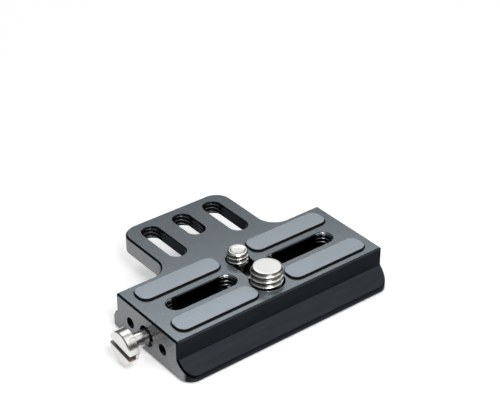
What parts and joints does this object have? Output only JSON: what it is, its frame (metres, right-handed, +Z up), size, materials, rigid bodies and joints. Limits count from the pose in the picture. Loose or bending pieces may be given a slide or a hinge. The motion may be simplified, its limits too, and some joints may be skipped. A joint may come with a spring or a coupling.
{
  "type": "tripod quick release plate",
  "caption": "T-shaped dovetail quick release plate with a slotted tongue, rubber pads, camera screws in a keyhole and a slotted screw in one end.",
  "frame": {"origin": "centre of the dovetail bar on its base plane", "axes": "+X along the bar, away from the end with the slotted screw; +Y towards the tongue; +Z up through the camera screws"},
  "size_m": [0.0822, 0.059, 0.0171],
  "materials": {
    "plate": "satin black anodised",
    "pad": "matte grey rubber",
    "screw": "bright turned stainless steel"
  },
  "bodies": {
    "plate": {"plate_body": "plate", "pad_front_left": "pad", "pad_front_right": "pad", "pad_back_left": "pad", "pad_back_right": "pad"},
    "quarter_inch_screw": {"quarter_inch_screw": "screw"},
    "three_eighths_screw": {"three_eighths_screw": "screw"},
    "side_screw": {"side_screw": "screw"}
  },
  "joints": [
    {"name": "quarter_inch_screw_turn", "type": "hinge", "parent": "plate", "child": "quarter_inch_screw", "pos_m": [0, 0.0066, 0.0122], "axis": [0, 0, 1], "continuous": true},
    {"name": "three_eighths_screw_turn", "type": "hinge", "parent": "plate", "child": "three_eighths_screw", "pos_m": [0, -0.0068, 0.0122], "axis": [0, 0, 1], "continuous": true},
    {"name": "side_screw_turn", "type": "hinge", "parent": "plate", "child": "side_screw", "pos_m": [-0.03675, 0, 0.0058], "axis": [1, 0, 0], "continuous": true}
  ]
}
